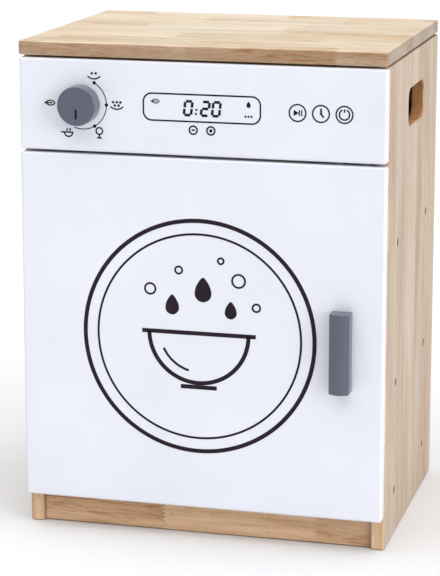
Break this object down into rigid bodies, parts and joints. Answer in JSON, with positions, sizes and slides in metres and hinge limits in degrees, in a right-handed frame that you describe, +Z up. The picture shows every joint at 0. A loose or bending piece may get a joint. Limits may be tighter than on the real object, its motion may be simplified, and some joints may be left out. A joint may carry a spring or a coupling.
{
  "type": "toy dishwasher",
  "caption": "Wooden toy dishwasher: board cabinet with a side-hinged door, a turning dial, sliding dish racks and a flat worktop.",
  "frame": {"origin": "on the floor, under the middle of the whole toy", "axes": "+X to the right seen from the front, +Y to the back, +Z up"},
  "size_m": [0.4, 0.3298, 0.54],
  "materials": {
    "rubberwood": "clear-lacquered glued rubberwood boards, satin",
    "plywood": "thin birch plywood, sanded",
    "beech": "sanded beech",
    "white_paint": "cool white lacquer on board, satin",
    "slate_paint": "slate grey lacquer on wood, satin",
    "steel": "zinc plated",
    "catch_plastic": "moulded white plastic"
  },
  "bodies": {
    "cabinet": {"worktop": "rubberwood", "left_side_panel": "rubberwood", "right_side_panel": "rubberwood", "floor_board": "rubberwood", "back_panel": "plywood", "kick_plate": "rubberwood", "lintel_rail": "rubberwood", "control_panel": "white_paint", "control_panel_screw_1": "steel", "control_panel_screw_2": "steel", "left_floor_front_screw": "steel", "left_floor_back_screw": "steel", "left_lower_front_screw": "steel", "left_lower_back_screw": "steel", "left_upper_front_screw": "steel", "left_upper_back_screw": "steel", "right_floor_front_screw": "steel", "right_floor_back_screw": "steel", "right_lower_front_screw": "steel", "right_lower_back_screw": "steel", "right_upper_front_screw": "steel", "right_upper_back_screw": "steel", "left_lower_runner": "beech", "right_lower_runner": "beech", "left_upper_runner": "beech", "right_upper_runner": "beech", "magnet_catch": "catch_plastic", "lower_hinge_carcass_leaf": "steel", "lower_hinge_pin": "steel", "upper_hinge_carcass_leaf": "steel", "upper_hinge_pin": "steel"},
    "door": {"door_panel": "white_paint", "strike_plate": "steel", "door_handle": "slate_paint", "handle_screw_1": "steel", "handle_screw_2": "steel", "lower_hinge_door_leaf": "steel", "upper_hinge_door_leaf": "steel"},
    "dial": {"program_dial": "slate_paint", "dial_bolt": "steel", "dial_washer": "steel"},
    "lower_rack": {"lower_rack_left_rail": "beech", "lower_rack_right_rail": "beech", "lower_rack_front_rail": "beech", "lower_rack_back_rail": "beech", "lower_rack_base": "plywood", "lower_rack_peg_rail_1": "beech", "lower_rack_peg_rail_2": "beech"},
    "upper_rack": {"upper_rack_left_rail": "beech", "upper_rack_right_rail": "beech", "upper_rack_front_rail": "beech", "upper_rack_back_rail": "beech", "upper_rack_base": "plywood", "upper_rack_peg_rail_1": "beech", "upper_rack_peg_rail_2": "beech"}
  },
  "joints": [
    {"name": "door_hinge", "type": "hinge", "parent": "cabinet", "child": "door", "pos_m": [-0.1985, -0.13, 0.228], "axis": [0, 0, -1], "range_deg": [0, 105]},
    {"name": "dial_turn", "type": "hinge", "parent": "cabinet", "child": "dial", "pos_m": [-0.13, -0.145, 0.4744], "axis": [0, -1, 0], "continuous": true},
    {"name": "lower_rack_slide", "type": "slide", "parent": "cabinet", "child": "lower_rack", "axis": [0, -1, 0], "range_m": [0, 0.105]},
    {"name": "upper_rack_slide", "type": "slide", "parent": "cabinet", "child": "upper_rack", "axis": [0, -1, 0], "range_m": [0, 0.105]}
  ],
  "couplings": [
    {"joint": "lower_rack_slide", "follows": "door_hinge", "m_per_rad": 0.057},
    {"joint": "upper_rack_slide", "follows": "door_hinge", "m_per_rad": 0.057}
  ]
}
